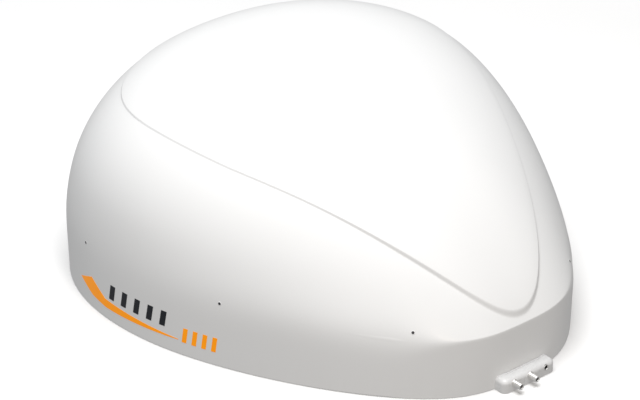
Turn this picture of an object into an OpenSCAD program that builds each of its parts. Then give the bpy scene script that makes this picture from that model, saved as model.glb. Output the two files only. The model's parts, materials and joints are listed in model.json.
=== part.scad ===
// Automatic dome satellite antenna: a fixed egg-shaped radome over a turntable that carries a tilting
// flat panel. +Y points to the wide end, -Y to the narrow end with the sockets, +Z is up.
// The origin is the centre of the four threaded inserts on the flat underside. Sizes are millimetres.

/* [Radome] */
// length of the radome's foot along Y
length = 760; // [740:5:780]
// largest half width of the shoulder before it tapers
half_w = 337.5; // [330:0.5:345]
// height of the dome above the underside
height = 332; // [326:1:338]
// height of the upright skirt
skirt_h = 100; // [96:1:104]
// thickness of the moulded shell
wall = 3; // [2.5:0.1:3.5]
// how much the skirt widens from foot to shoulder, each side
draft = 1.2; // [0.8:0.1:1.6]
// step of the raised crown along its sides
crown_step = 1.6; // [1:0.1:3]
// extra step at the crown's narrow tip
tip_step = 3.4; // [2:0.2:5]

/* [Mounting] */
// insert spacing across the object
insert_x = 300; // [280:5:310]
// insert spacing along the object
insert_y = 340; // [330:5:350]
// minor radius of the M6 thread
insert_r = 2.5; // [2.4:0.05:2.6]

/* [Sockets] */
// distance between neighbouring socket centres
socket_pitch = 30; // [28:1:32]
// radius of the 3/8 inch coaxial socket thread
coax_r = 4.76; // [4.7:0.02:4.8]
// radius of the round service hole
service_r = 3.2; // [3:0.1:3.4]
// height of the socket centres
socket_z = 13; // [12.5:0.25:13.5]

/* [Mechanism] */
// Y position of the turntable axis
axis_y = 60; // [55:1:65]
// height of the tilt axis
tilt_z = 150; // [148:1:154]
// panel width across the tilt axis direction
panel_w = 420; // [416:1:424]
// panel depth
panel_d = 200; // [196:1:204]
// gear module
gear_m = 1.5; // [1.5]
// teeth of the fixed sun gear
sun_teeth = 72; // [72]
// teeth of the azimuth pinion
azimuth_teeth = 18; // [18]
// teeth in a full circle of the tilt sector
sector_teeth = 72; // [72]
// teeth of the tilt pinion
tilt_teeth = 16; // [16]

/* [Hidden] */
$fn = 48;

// shared clearances
eps = 0.01;
fit_gap = 0.05;
cut = 1;

// radome surface: the foot runs from -front to +front along Y
foot_front = -length / 2;
apex_y = 165;
front_len = apex_y - foot_front;
back_len = length / 2 - apex_y;
front_pow = 2.83;
back_pow = 3.07;
back_rise = 2.06;
side_pow = 3.17;
side_rise = 2.54;
plan_pow = 1.9;
corner_low = 2.98;
corner_high = 2.08;
taper_low = 0.292;
taper_high = 0.157;
taper_bend = -0.064;

// raised crown panel in plan
crown_w = 234;
crown_l = 342.5;
crown_y = -32.5;
crown_corner = 2.08;
crown_pow = 1.78;
crown_taper = 0.586;
crown_bend = 0.188;
crown_ramp = 7;

// shell grid
columns = 72;
shoulder_rings = 8;
crown_rings = 7;
search = 24;
skirt_rings = 2;
rings = skirt_rings + shoulder_rings + 1 + crown_rings;

function level_prof(t, n, m) = pow(max(0, 1 - pow(t, m)), 1 / n);
function y_front(t) = apex_y - front_len * level_prof(t, front_pow, 1);
function y_back(t) = apex_y + back_len * level_prof(t, back_pow, back_rise);
function plan_gap(x, y, t) =
  let(l = max(0.01, (y_back(t) - y_front(t)) / 2))
  let(v = (y - (y_back(t) + y_front(t)) / 2) / l)
  let(u = min(1.3, max(-1.3, v)))
  let(k = taper_low + (taper_high - taper_low) * t)
  let(w = half_w * level_prof(t, side_pow, side_rise) * max(0.05, 1 + k * u + taper_bend * u * u))
  pow(abs(x) / max(0.01, w), corner_low + (corner_high - corner_low) * t) + pow(abs(v), plan_pow) - 1;
function crown_gap(x, y) =
  let(v = (y - crown_y) / crown_l)
  let(u = min(1.3, max(-1.3, v)))
  let(w = crown_w * max(0.05, 1 + crown_taper * u + crown_bend * u * u))
  pow(abs(x) / w, crown_corner) + pow(abs(v), crown_pow) - 1;

// reach of an outline from the origin along a plan heading, measured from +Y towards +X
function level_reach(a, t, lo, hi, n) =
  let(m = (lo + hi) / 2)
  n == 0 ? m : plan_gap(m * sin(a), m * cos(a), t) > 0
    ? level_reach(a, t, lo, m, n - 1) : level_reach(a, t, m, hi, n - 1);
function crown_reach(a, lo, hi, n) =
  let(m = (lo + hi) / 2)
  n == 0 ? m : crown_gap(m * sin(a), m * cos(a)) > 0
    ? crown_reach(a, lo, m, n - 1) : crown_reach(a, m, hi, n - 1);
function skirt_top(a) = level_reach(a, 0, 0, length, search) * [sin(a), cos(a)];
function crown_edge(a) = crown_reach(a, 0, length, search) * [sin(a), cos(a)];

// level t of the dome surface over a plan point
function level_at(p, lo, hi, n) =
  let(m = (lo + hi) / 2)
  n == 0 ? m : plan_gap(p[0], p[1], m) > 0
    ? level_at(p, lo, m, n - 1) : level_at(p, m, hi, n - 1);
function dome_z(t) = skirt_h + (height - skirt_h) * t;
// how far along the line from a to b the surface reaches level t
function share_at(a, b, t, lo, hi, n) =
  let(m = (lo + hi) / 2)
  let(p = a + m * (b - a))
  n == 0 ? m : plan_gap(p[0], p[1], t) > 0
    ? share_at(a, b, t, m, hi, n - 1) : share_at(a, b, t, lo, m, n - 1);

function unit(v) = v / norm(v);
// outward normal of the dome surface
function dome_normal(p, t) =
  let(d = 0.5)
  let(dt = 0.004)
  let(gx = (plan_gap(p[0] + d, p[1], t) - plan_gap(p[0] - d, p[1], t)) / (2 * d))
  let(gy = (plan_gap(p[0], p[1] + d, t) - plan_gap(p[0], p[1] - d, t)) / (2 * d))
  let(t1 = min(0.995, t + dt))
  let(gt = (plan_gap(p[0], p[1], t1) - plan_gap(p[0], p[1], t1 - dt)) / dt)
  unit([gx, gy, gt / (height - skirt_h)]);
function skirt_normal(p) =
  let(n = dome_normal(p, 0))
  unit([n[0], n[1], 0]);

// one point of the shell: column heading a, ring i, pushed out by off
function crown_lift(a, s) =
  let(nose = pow(max(0, -cos(a)), 6))
  (crown_step + tip_step * nose) * s * s;
function shell_point(a, i, off) =
  let(foot = skirt_top(a))
  let(edge = crown_edge(a))
  let(n0 = skirt_normal(foot))
  i < skirt_rings
    ? [each foot, i * skirt_h] + n0 * (off - (i == 0 ? draft : 0))
    : i < skirt_rings + shoulder_rings
      ? shoulder_point(foot, edge, (i - skirt_rings + 1) / shoulder_rings, off)
      : crown_point(edge, a, i - skirt_rings - shoulder_rings, off);
function shoulder_point(foot, edge, u, off) =
  let(t = level_at(edge, 0, 1, search) * pow(u, 1.15))
  let(s = u == 1 ? 1 : share_at(foot, edge, t, 0, 1, search))
  let(p = foot + s * (edge - foot))
  [each p, dome_z(t)] + dome_normal(p, t) * off;
function crown_point(edge, a, j, off) =
  let(peak = [0, apex_y])
  let(first = 1 - crown_ramp / norm(edge - peak))
  let(s = first * pow(1 - j / (crown_rings + 1), 1.2))
  let(p = peak + s * (edge - peak))
  let(t = level_at(p, 0, 1, search))
  [each p, dome_z(t)] + dome_normal(p, t) * (off + crown_lift(a, s));

module shell_solid(thick) {
  outer = [for (i = [0:rings - 1]) for (c = [0:columns - 1]) shell_point(c * 360 / columns, i, 0)];
  inner = [for (i = [0:rings - 1]) for (c = [0:columns - 1]) shell_point(c * 360 / columns, i, -thick)];
  foot_in = [for (p = inner) [p[0], p[1], max(p[2], 0)]];
  top = len(outer);
  peak_out = [0, apex_y, height];
  peak_in = [0, apex_y, height - thick];
  function at(i, c) = i * columns + c % columns;
  outside = [for (i = [0:rings - 2]) for (c = [0:columns - 1]) each [
    [at(i, c), at(i, c + 1), at(i + 1, c)],
    [at(i + 1, c), at(i, c + 1), at(i + 1, c + 1)]
  ]];
  inside = [for (f = outside) [f[2] + top, f[1] + top, f[0] + top]];
  foot = [for (c = [0:columns - 1]) each [
    [at(0, c), at(0, c) + top, at(0, c + 1)],
    [at(0, c + 1), at(0, c) + top, at(0, c + 1) + top]
  ]];
  cap_out = [for (c = [0:columns - 1]) [at(rings - 1, c), at(rings - 1, c + 1), 2 * top]];
  cap_in = [for (c = [0:columns - 1])
    [at(rings - 1, c + 1) + top, at(rings - 1, c) + top, 2 * top + 1]];
  polyhedron(
    points = [each outer, each foot_in, peak_out, peak_in],
    faces = [each outside, each inside, each foot, each cap_out, each cap_in]
  );
}

// a point on the skirt wall: heading a, height z, pushed out by off
function skirt_point(a, z, off) =
  let(p = skirt_top(a))
  [each p, z] + skirt_normal(p) * (off - draft * (1 - z / skirt_h));
function foot_outline(inset) = [for (c = [0:columns - 1])
  let(p = skirt_point(c * 360 / columns, 0, -inset)) [p[0], p[1]]];

// ring of plan thickness between two insets of the foot outline
module foot_band(outer_inset, inner_inset, low, high) {
  translate([0, 0, low])
    linear_extrude(high - low)
      difference() {
        polygon(foot_outline(outer_inset));
        polygon(foot_outline(inner_inset));
      }
}
// moves children to the dome wall at height z, local +Y pointing out of it
module on_wall(a, z) {
  n = skirt_normal(skirt_top(a));
  r = level_reach(a, max(0, z - skirt_h) / (height - skirt_h), 0, length, search);
  translate([r * sin(a), r * cos(a), z])
    rotate([0, 0, atan2(n[1], n[0]) - 90])
      children();
}
// cylinder along +Y
module rod(r, from, to) {
  translate([0, from, 0])
    rotate([-90, 0, 0])
      cylinder(h = to - from, r = r);
}
// cylinder along +X
module bar(r, from, to) {
  translate([from, 0, 0])
    rotate([0, 90, 0])
      cylinder(h = to - from, r = r);
}
// upright cylinder
module post(r, from, to) {
  translate([0, 0, from])
    cylinder(h = to - from, r = r);
}
module block(low, high) {
  translate(low)
    cube(high - low);
}
module ring(r_out, r_in, from, to) {
  difference() {
    post(r_out, from, to);
    post(r_in, from - cut, to + cut);
  }
}
// small round tube following a list of points, with flat ends square to its path
module lead(path, r) {
  sides = 8;
  last = len(path) - 1;
  function ahead(i) = unit(path[min(last, i + 1)] - path[max(0, i - 1)]);
  pts = [for (i = [0:last])
    let(d = ahead(i))
    let(u = unit(cross(d, [0.3, 0.1, 1] - d * (d * [0.3, 0.1, 1]))))
    let(v = cross(d, u))
    for (k = [0:sides - 1])
      path[i] + r * (cos(k * 360 / sides) * u + sin(k * 360 / sides) * v)];
  function at(i, k) = i * sides + k % sides;
  wall_faces = [for (i = [0:last - 1]) for (k = [0:sides - 1]) each [
    [at(i, k), at(i + 1, k), at(i, k + 1)],
    [at(i + 1, k), at(i + 1, k + 1), at(i, k + 1)]
  ]];
  first_face = [for (k = [1:sides - 2]) [at(0, 0), at(0, k), at(0, k + 1)]];
  last_face = [for (k = [1:sides - 2]) [at(last, 0), at(last, k + 1), at(last, k)]];
  polyhedron(points = pts, faces = [each wall_faces, each first_face, each last_face]);
}

// radome screws: plan headings of one side, mirrored to the other
screw_headings = [155, 107, 65, 22];
screw_z = 103;
screw_r = 1.5;
head_r = 2.2;
head_h = 1.4;
head_sink = 1.6;
// lugs of the base tray that the screws enter
lug_top = 110;
lug_w = 20;
lug_t = 4;
lug_gap = 1.4;
nut_r = 3.4;
nut_h = 2.8;
tray_t = 3;
rim_gap = 0.6;
rim_t = 3;
rim_h = 20;
seal_low = 8;
seal_high = 12;
seal_sink = 1;
module at_screws() {
  for (side = [-1, 1])
    for (a = screw_headings)
      on_wall(side * a, screw_z)
        children();
}
// plan distance from the wall at the screw to the wall at the lug's top
function lug_shift(a) =
  let(rise = height - skirt_h)
  level_reach(a, (screw_z - skirt_h) / rise, 0, length, search)
    - level_reach(a, (lug_top - skirt_h) / rise, 0, length, search);
module at_lugs() {
  for (side = [-1, 1])
    for (a = screw_headings)
      on_wall(side * a, screw_z)
        translate([0, -lug_shift(a) - wall * 1.35 - lug_gap, 0])
          children();
}

// connector housing: a rounded block through the foot of the narrow end
housing_half = 48.5;
housing_h = 20;
housing_gap = 0.3;
housing_front = foot_front - 16.5;
housing_back = foot_front + 16;
housing_round = 7;
housing_corner = 9;
flange_half = 56;
flange_top = 27;
gasket_t = 1.2;
gasket_from = foot_front + 8.7;
flange_from = gasket_from + gasket_t;
flange_to = flange_from + 3;
housing_screw_r = 1.5;
housing_screw_x = 52;
housing_screw_z = 23.5;
housing_screw_from = gasket_from - 1.5;

module radome() {
  notch = housing_half + housing_gap;
  color([0.95, 0.95, 0.94])
    difference() {
      shell_solid(wall);
      at_screws() rod(screw_r + 0.3, -4 * wall, cut);
      at_screws() rod(head_r + 0.2, -head_sink, 3 * wall);
      block([-notch, foot_front - cut, -cut], [notch, foot_front + 3 * wall, housing_h + housing_gap]);
      at_housing_screws() rod(housing_screw_r + fit_gap, housing_screw_from - fit_gap, flange_from);
    }
}

// printed trim: thin films on the -X side of the skirt. A film runs through its stations, each with
// a plan heading, a low edge and a high edge; "share" moves between them in film_steps steps
film_out = 0.6;
film_in = 0.25;
film_steps = 8;
module skirt_film(stations) {
  last = (len(stations) - 1) * film_steps;
  function station(i) =
    let(k = min(len(stations) - 2, floor(i / film_steps)))
    let(share = i / film_steps - k)
    stations[k] + share * (stations[k + 1] - stations[k]);
  pts = [for (i = [0:last])
    let(at = station(i))
    each [
      skirt_point(at[0], at[1], film_in),
      skirt_point(at[0], at[2], film_in),
      skirt_point(at[0], at[2], film_out),
      skirt_point(at[0], at[1], film_out)
    ]];
  sides = [for (i = [0:last - 1]) for (k = [0:3]) each [
    [4 * i + k, 4 * i + 4 + k, 4 * i + (k + 1) % 4],
    [4 * i + (k + 1) % 4, 4 * i + 4 + k, 4 * i + 4 + (k + 1) % 4]
  ]];
  end = 4 * last;
  ends = [[0, 1, 2], [0, 2, 3], [end, end + 2, end + 1], [end, end + 3, end + 2]];
  polyhedron(points = pts, faces = [each sides, each ends]);
}
// row of slanted bars: first heading, count, heading step, bar span, low and high edge
module skirt_bars(from, count, step, span, low, high) {
  thin = 1;
  for (i = [0:count - 1]) {
    a = from - step * i;
    skirt_film([
      [a, low, low + thin], [a - span / 3, low, high],
      [a - span * 2 / 3, low, high], [a - span, high - thin, high]
    ]);
  }
}
wedge_from = -62;
wedge_to = -72;
line_to = -95;
line_z = 29;
bar_low = 38;
bar_high = 63;
dash_low = 22;
dash_high = 46;
module decal_stripe() {
  color([1, 0.58, 0.05])
    skirt_film([
      [wedge_from, line_z + 8, line_z + 9], [wedge_from - 5, line_z - 6, line_z + 24],
      [wedge_to, line_z - 10, line_z + 4], [line_to, line_z - 5, line_z - 4]
    ]);
}
module decal_bars() {
  color([0.13, 0.15, 0.18])
    skirt_bars(wedge_to - 1.5, 5, 4, 2.4, bar_low, bar_high);
}
module decal_dashes() {
  color([1, 0.58, 0.05])
    skirt_bars(line_to - 1, 4, 2.8, 1.9, dash_low, dash_high);
}

module radome_screws() {
  slot_w = 0.8;
  color([0.2, 0.2, 0.21])
    at_screws()
      difference() {
        union() {
          rod(screw_r, -wall * 1.35 - lug_t - lug_gap - lug_shift(155) - nut_h - 1, -head_sink + eps);
          rod(head_r, -head_sink, head_h - head_sink);
        }
        block([-slot_w / 2, head_h - head_sink - 0.6, -2], [slot_w / 2, cut, 2]);
      }
}
module captive_nuts() {
  color([0.75, 0.68, 0.45])
    at_lugs()
      difference() {
        translate([0, -lug_t - nut_h, 0])
          rotate([-90, 0, 0])
            cylinder(h = nut_h, r = nut_r, $fn = 6);
        rod(screw_r, -lug_t - nut_h - cut, cut);
      }
}
module rim_seal() {
  notch = flange_half + 1;
  color([0.12, 0.12, 0.12])
    difference() {
      foot_band(wall + 0.1, wall + rim_gap + seal_sink, seal_low, seal_high);
      block([-notch, foot_front - cut, 0], [notch, foot_front + 30, rim_h]);
    }
}

// fixed hub, turntable and bearing, all about the turntable axis
module on_axis() {
  translate([0, axis_y, 0])
    children();
}
hub_flange_r = 60;
hub_flange_top = 8;
hub_r = 30;
hub_bore = 12;
hub_step_r = 34;
bearing_low = 26;
bearing_high = 38;
bearing_out = 47;
ball_pitch = 38.5;
ball_r = 3.5;
ball_count = 18;
race_gap = 2;
nut_top = 41;
lead_slot = 8;
insert_out = 5;
insert_h = 14;
boss_r = 10;
boss_top = 16;
drain_r = 4;
drain_y = 300;
drain_x = 60;
board_w = 150;
board_l = 96;
board_y = -252;
board_z = 9;
board_t = 1.6;
stand_r = 3.5;
board_screw_r = 1.5;
hub_screw_pitch = 50;
hub_screw_r = 2;

module at_inserts() {
  for (sx = [-1, 1])
    for (sy = [-1, 1])
      translate([sx * insert_x / 2, sy * insert_y / 2, 0])
        children();
}
module at_drains() {
  for (sx = [-1, 1])
    translate([sx * drain_x, drain_y, 0])
      children();
}
module at_board_corners() {
  for (sx = [-1, 1])
    for (sy = [-1, 1])
      translate([sx * (board_w / 2 - 6), board_y + sy * (board_l / 2 - 6), 0])
        children();
}
module at_hub_screws() {
  on_axis()
    for (k = [0:3])
      rotate([0, 0, 45 + 90 * k])
        translate([hub_screw_pitch, 0, 0])
          children();
}

module base_tray() {
  rib_t = 3;
  rib_h = 11;
  rib_in = 96;
  rib_out = 226;
  notch = flange_half + 1;
  color([0.25, 0.26, 0.27])
    difference() {
      union() {
        linear_extrude(tray_t) polygon(foot_outline(wall + rim_gap));
        foot_band(wall + rim_gap, wall + rim_gap + rim_t, tray_t - eps, rim_h);
        at_inserts() post(boss_r, 0, boss_top);
        at_lugs() block([-lug_w / 2, -lug_t, tray_t - screw_z - eps], [lug_w / 2, 0, lug_top - screw_z]);
        at_lugs() block([-1.5, -lug_t - 14, tray_t - screw_z - eps], [1.5, -lug_t + eps, 20 - screw_z]);
        on_axis()
          for (k = [0:7])
            rotate([0, 0, 22.5 + 45 * k])
              block([rib_in, -rib_t / 2, tray_t - eps], [rib_out, rib_t / 2, rib_h]);
      }
      difference() {
        foot_band(wall + rim_gap - cut, wall + rim_gap + seal_sink, seal_low, seal_high);
        block([-notch, foot_front - 20, 0], [notch, foot_front + 30, rim_h]);
      }
      at_inserts() post(insert_out, -cut, insert_h);
      at_drains() post(drain_r, -cut, tray_t + cut);
      at_lugs() rod(screw_r + 0.2, -lug_t - cut, cut);
      at_hub_screws() post(hub_screw_r, 1, tray_t + cut);
      block([-notch, foot_front - cut, tray_t], [notch, flange_to + 1.2, rim_h + cut]);
      block([-housing_half - 1, foot_front - cut, -cut], [housing_half + 1, housing_back + 1, rim_h + cut]);
    }
}
module mounting_inserts() {
  color([0.78, 0.66, 0.32])
    at_inserts()
      difference() {
        post(insert_out, 0, insert_h);
        post(insert_r, -cut, insert_h + cut);
      }
}
module drain_plugs() {
  color([0.1, 0.1, 0.1])
    at_drains() {
      post(drain_r, 0.6, tray_t);
      post(drain_r + 2, tray_t, tray_t + 1.5);
    }
}

module at_housing_screws() {
  for (sx = [-1, 1])
    translate([sx * housing_screw_x, 0, housing_screw_z])
      children();
}
module connector_housing() {
  arc = [for (a = [0:10:90]) [
    housing_front + housing_round * (1 - sin(a)),
    housing_h - housing_round * (1 - cos(a))
  ]];
  half = housing_half - housing_corner;
  color([0.93, 0.93, 0.92])
    difference() {
      union() {
        intersection() {
          translate([-housing_half, 0, 0])
            rotate([90, 0, 90])
              linear_extrude(2 * housing_half)
                polygon([[housing_front, 0], [housing_back, 0], [housing_back, housing_h], each arc]);
          union() {
            block([-half, housing_front - cut, 0], [half, housing_back + cut, housing_h + cut]);
            block([-housing_half, housing_front + housing_corner, 0],
              [housing_half, housing_back + cut, housing_h + cut]);
            for (sx = [-1, 1])
              translate([sx * half, housing_front + housing_corner, 0])
                post(housing_corner, 0, housing_h + cut);
          }
        }
        block([-flange_half, flange_from, tray_t + 0.3], [flange_half, flange_to, flange_top]);
      }
      for (i = [-1, 0])
        translate([i * socket_pitch, 0, socket_z])
          rod(coax_r + 0.04, housing_front - cut, housing_back + cut);
      translate([socket_pitch, 0, socket_z])
        rod(sleeve_r, housing_front - cut, housing_front + sleeve_len);
      at_housing_screws() rod(housing_screw_r, flange_from - cut, flange_to + cut);
    }
}
module connector_gasket() {
  color([0.13, 0.13, 0.13])
    difference() {
      block([-flange_half, gasket_from, tray_t + 0.3], [flange_half, flange_from, flange_top]);
      block([-housing_half, gasket_from - cut, 0], [housing_half, flange_from + cut, housing_h]);
      at_housing_screws() rod(housing_screw_r, gasket_from - cut, flange_from + cut);
    }
}
coax_out = 14;
collar_r = 5.8;
collar_t = 2;
coax_hole_r = 2.9;
coax_hole_l = 11;
contact_r = 0.6;
coax_tail = 10;
coax_nut_t = 3;
coax_nut_r = 6.4;
sleeve_r = 4.6;
sleeve_len = 10;
service_depth = 8.5;
module coax_port(x) {
  color([0.82, 0.83, 0.85])
    translate([x, 0, socket_z])
      difference() {
        union() {
          rod(coax_r, housing_front - coax_out, housing_back + coax_tail);
          rod(collar_r, housing_front - collar_t, housing_front);
        }
        rod(coax_hole_r, housing_front - coax_out - cut, housing_front - coax_out + coax_hole_l);
      }
}
module coax_port_left() { coax_port(-socket_pitch); }
module coax_port_right() { coax_port(0); }
module coax_insulators() {
  recess = 1;
  color([0.9, 0.88, 0.8])
    for (i = [-1, 0])
      translate([i * socket_pitch, 0, socket_z])
        difference() {
          rod(coax_hole_r, housing_front - coax_out + recess, housing_front - coax_out + coax_hole_l);
          rod(contact_r, housing_front - coax_out, housing_front - coax_out + coax_hole_l - 2);
        }
}
module coax_nuts() {
  color([0.75, 0.76, 0.78])
    for (i = [-1, 0])
      translate([i * socket_pitch, housing_back, socket_z])
        difference() {
          rotate([-90, 0, 0])
            cylinder(h = coax_nut_t, r = coax_nut_r, $fn = 6);
          rod(coax_r, -cut, coax_nut_t + cut);
        }
}
module service_socket() {
  color([0.55, 0.56, 0.58])
    translate([socket_pitch, housing_front, socket_z])
      difference() {
        rod(sleeve_r, 0, sleeve_len);
        rod(service_r, -cut, service_depth);
      }
}
module housing_screws() {
  color([0.7, 0.71, 0.72])
    at_housing_screws() {
      rod(housing_screw_r, housing_screw_from, flange_to);
      rod(housing_screw_r * 2, flange_to, flange_to + 2);
    }
}

// electronics in the narrow end
module control_board() {
  color([0.05, 0.35, 0.18])
    difference() {
      union() {
        translate([0, board_y, 0])
          block([-board_w / 2, -board_l / 2, board_z], [board_w / 2, board_l / 2, board_z + board_t]);
        for (i = [0:3])
          translate([-20 + 26 * i, board_y + 30, 0])
            block([-9, -7, board_z + board_t - eps], [9, 7, board_z + board_t + 2]);
      }
      at_board_corners() post(board_screw_r + 0.2, board_z - cut, board_z + board_t + cut);
    }
}
module board_standoffs() {
  color([0.8, 0.7, 0.4])
    at_board_corners()
      difference() {
        post(stand_r, tray_t, board_z);
        post(board_screw_r, tray_t + 1, board_z + cut);
      }
}
module board_screws() {
  color([0.7, 0.71, 0.72])
    at_board_corners() {
      post(board_screw_r, tray_t + 1.5, board_z + board_t);
      post(board_screw_r * 2, board_z + board_t, board_z + board_t + 2);
    }
}
can_x = -38;
can_y = board_y - 24;
can_half_x = 26;
can_half_y = 17;
can_h = 16;
can_t = 1;
module tuner_can() {
  base = board_z + board_t;
  color([0.8, 0.81, 0.83])
    translate([can_x, can_y, 0])
      difference() {
        block([-can_half_x, -can_half_y, base], [can_half_x, can_half_y, base + can_h]);
        block([-can_half_x + can_t, -can_half_y + can_t, base - cut],
          [can_half_x - can_t, can_half_y - can_t, base + can_h - can_t]);
      }
}
module heat_sink() {
  fins = 7;
  base = board_z + board_t;
  color([0.3, 0.31, 0.32])
    translate([42, board_y - 20, 0]) {
      block([-20, -16, base], [20, 16, base + 3]);
      for (i = [0:fins - 1])
        translate([-19 + 38 / (fins - 1) * i, 0, 0])
          block([-1, -16, base + 3 - eps], [1, 16, base + 15]);
    }
}
lead_r = 2;
lead_rings = 14;
function ease(u) = u * u * (3 - 2 * u);
module coax_lead(from, to) {
  path = [for (i = [0:lead_rings])
    let(u = i / lead_rings)
    let(e = ease(u))
    [from[0] + (to[0] - from[0]) * e, from[1] + (to[1] - from[1]) * u, from[2] + (to[2] - from[2]) * e]];
  color([0.1, 0.1, 0.1])
    lead(path, lead_r);
}
lead_from_y = housing_back + coax_tail;
lead_to_y = can_y - can_half_y;
lead_to_z = board_z + board_t + can_h / 2;
module coax_lead_left() {
  coax_lead([-socket_pitch, lead_from_y, socket_z], [can_x - 12, lead_to_y, lead_to_z]);
}
module coax_lead_right() {
  coax_lead([0, lead_from_y, socket_z], [can_x + 12, lead_to_y, lead_to_z]);
}
slip_low = 12;
module slip_ring_lead() {
  z = tray_t + lead_r + 0.3;
  start = board_y + 10;
  bend = 5;
  run = axis_y - bend - start;
  straight = 22;
  path = [
    for (i = [0:straight]) [0, start + run * i / straight, z],
    for (a = [30:30:90]) [0, axis_y - bend + bend * sin(a), z + bend * (1 - cos(a))],
    [0, axis_y, slip_low]
  ];
  color([0.1, 0.1, 0.1])
    lead(path, lead_r);
}

// fixed hub
gear_low = 11;
gear_high = 19;
module turntable_hub() {
  color([0.7, 0.71, 0.73])
    difference() {
      on_axis() {
        post(hub_flange_r, tray_t, hub_flange_top);
        post(hub_step_r + 4, hub_flange_top - eps, gear_low);
        post(hub_step_r, gear_low - eps, bearing_low);
        post(hub_r, bearing_low - eps, nut_top);
      }
      on_axis() post(hub_bore, -cut, nut_top + cut);
      on_axis() block([-lead_slot / 2, -hub_flange_r - cut, 0], [lead_slot / 2, 0, hub_flange_top]);
      at_hub_screws() post(hub_screw_r, 0, hub_flange_top + cut);
    }
}
module hub_screws() {
  color([0.55, 0.56, 0.58])
    at_hub_screws() {
      post(hub_screw_r, 1, hub_flange_top);
      post(hub_screw_r * 1.8, hub_flange_top, hub_flange_top + 2.2);
    }
}
module hub_nut() {
  color([0.6, 0.61, 0.63])
    on_axis() ring(36, hub_r, bearing_high, nut_top);
}

// involute gears: tooth outline points at centre heading h
pressure = 20;
backlash = 0.25;
function involute(r, base) =
  let(u = sqrt(max(0, pow(r / base, 2) - 1)))
  u * 180 / PI - atan(u);
function tooth_half(r, teeth) =
  let(pitch = gear_m * teeth / 2)
  let(base = pitch * cos(pressure))
  90 / teeth - backlash / pitch * 45 / PI + involute(pitch, base) - involute(max(r, base), base);
function tooth(teeth, h) =
  let(pitch = gear_m * teeth / 2)
  let(root = pitch - 1.25 * gear_m)
  let(tip = pitch + gear_m)
  let(base = max(root, pitch * cos(pressure)))
  let(radii = [root, for (i = [0:4]) base + (tip - base) * i / 4])
  [
    for (i = [0:5]) radii[i] * [cos(h - tooth_half(radii[i], teeth)), sin(h - tooth_half(radii[i], teeth))],
    for (i = [5:-1:0]) radii[i] * [cos(h + tooth_half(radii[i], teeth)), sin(h + tooth_half(radii[i], teeth))]
  ];
function gear_outline(teeth) = [for (k = [0:teeth - 1]) each tooth(teeth, k * 360 / teeth)];
sun_r = gear_m * sun_teeth / 2;
azimuth_r = gear_m * azimuth_teeth / 2;
azimuth_reach = sun_r + azimuth_r;
sector_r = gear_m * sector_teeth / 2;
tilt_r = gear_m * tilt_teeth / 2;
tilt_heading = -50;
tilt_reach = sector_r + tilt_r;
module sun_gear() {
  color([0.88, 0.86, 0.78])
    on_axis()
      difference() {
        translate([0, 0, gear_low])
          linear_extrude(gear_high - gear_low)
            polygon(gear_outline(sun_teeth));
        post(hub_step_r, gear_low - cut, gear_high + cut);
      }
}

// ball bearing
module race(from, to) {
  rotate_extrude()
    difference() {
      translate([from, bearing_low])
        square([to - from, bearing_high - bearing_low]);
      translate([ball_pitch, (bearing_low + bearing_high) / 2])
        circle(r = ball_r + 0.1);
    }
}
module at_balls() {
  on_axis()
    for (k = [0:ball_count - 1])
      rotate([0, 0, k * 360 / ball_count])
        translate([ball_pitch, 0, (bearing_low + bearing_high) / 2])
          children();
}
module bearing_inner_ring() {
  color([0.75, 0.76, 0.78])
    on_axis() race(hub_r, ball_pitch - race_gap);
}
module bearing_outer_ring() {
  color([0.75, 0.76, 0.78])
    on_axis() race(ball_pitch + race_gap, bearing_out);
}
module bearing_balls() {
  color([0.85, 0.86, 0.88])
    at_balls() sphere(r = ball_r);
}
module bearing_cage() {
  color([0.75, 0.6, 0.3])
    difference() {
      on_axis() ring(ball_pitch + 1.2, ball_pitch - 1.2, bearing_low + 2.5, bearing_high - 2.5);
      at_balls() sphere(r = ball_r + 0.12);
    }
}

// turntable
plate_high = 42;
plate_half = 240;
plate_wide = 62;
plate_disc = 90;
plate_hole = 41;
strap_t = 2;
strap_half = 54;
strap_screw_x = 48;
yoke_in = panel_w / 2 + 11;
yoke_t = 5;
yoke_foot = 14;
yoke_base = 55;
yoke_head = 36;
gearbox_seat_r = 20;
yoke_screw_x = yoke_in + yoke_t + 7;
gearbox_r = 16;
gearbox_h = 16;
motor_r = 14;
motor_h = 22;
shaft_r = 3;
module at_yoke_screws() {
  on_axis()
    for (sx = [-1, 1])
      for (k = [-1:1])
        translate([sx * yoke_screw_x, k * 40, 0])
          children();
}
module at_azimuth_shaft() {
  translate([0, axis_y + azimuth_reach, 0])
    children();
}
module turntable_plate() {
  color([0.78, 0.79, 0.81])
    difference() {
      union() {
        on_axis() block([-plate_half, -plate_wide, bearing_high], [plate_half, plate_wide, plate_high]);
        on_axis() post(plate_disc, bearing_high, plate_high);
        on_axis() post(bearing_out + 7, bearing_low + 1, bearing_high + eps);
        on_axis()
          for (sy = [-1, 1])
            translate([0, sy * (plate_wide - 1.5), 0])
              block([-plate_half, -1.5, bearing_high - 8], [-plate_disc, 1.5, bearing_high + eps]);
        on_axis()
          for (sy = [-1, 1])
            translate([0, sy * (plate_wide - 1.5), 0])
              block([plate_disc, -1.5, bearing_high - 8], [plate_half, 1.5, bearing_high + eps]);
      }
      on_axis() post(bearing_out, 0, bearing_high);
      on_axis() post(plate_hole, 0, plate_high + cut);
      at_azimuth_shaft() post(shaft_r + 2, 0, plate_high + cut);
      on_axis()
        for (sx = [-1, 1])
          for (k = [0:1])
            translate([sx * (130 + 50 * k), 0, 0])
              post(16, 0, plate_high + cut);
      on_axis() for (sx = [-1, 1]) translate([sx * strap_screw_x, 0, 0]) post(1.5, 0, plate_high + cut);
      at_yoke_screws() post(2, 0, plate_high + cut);
    }
}
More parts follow.
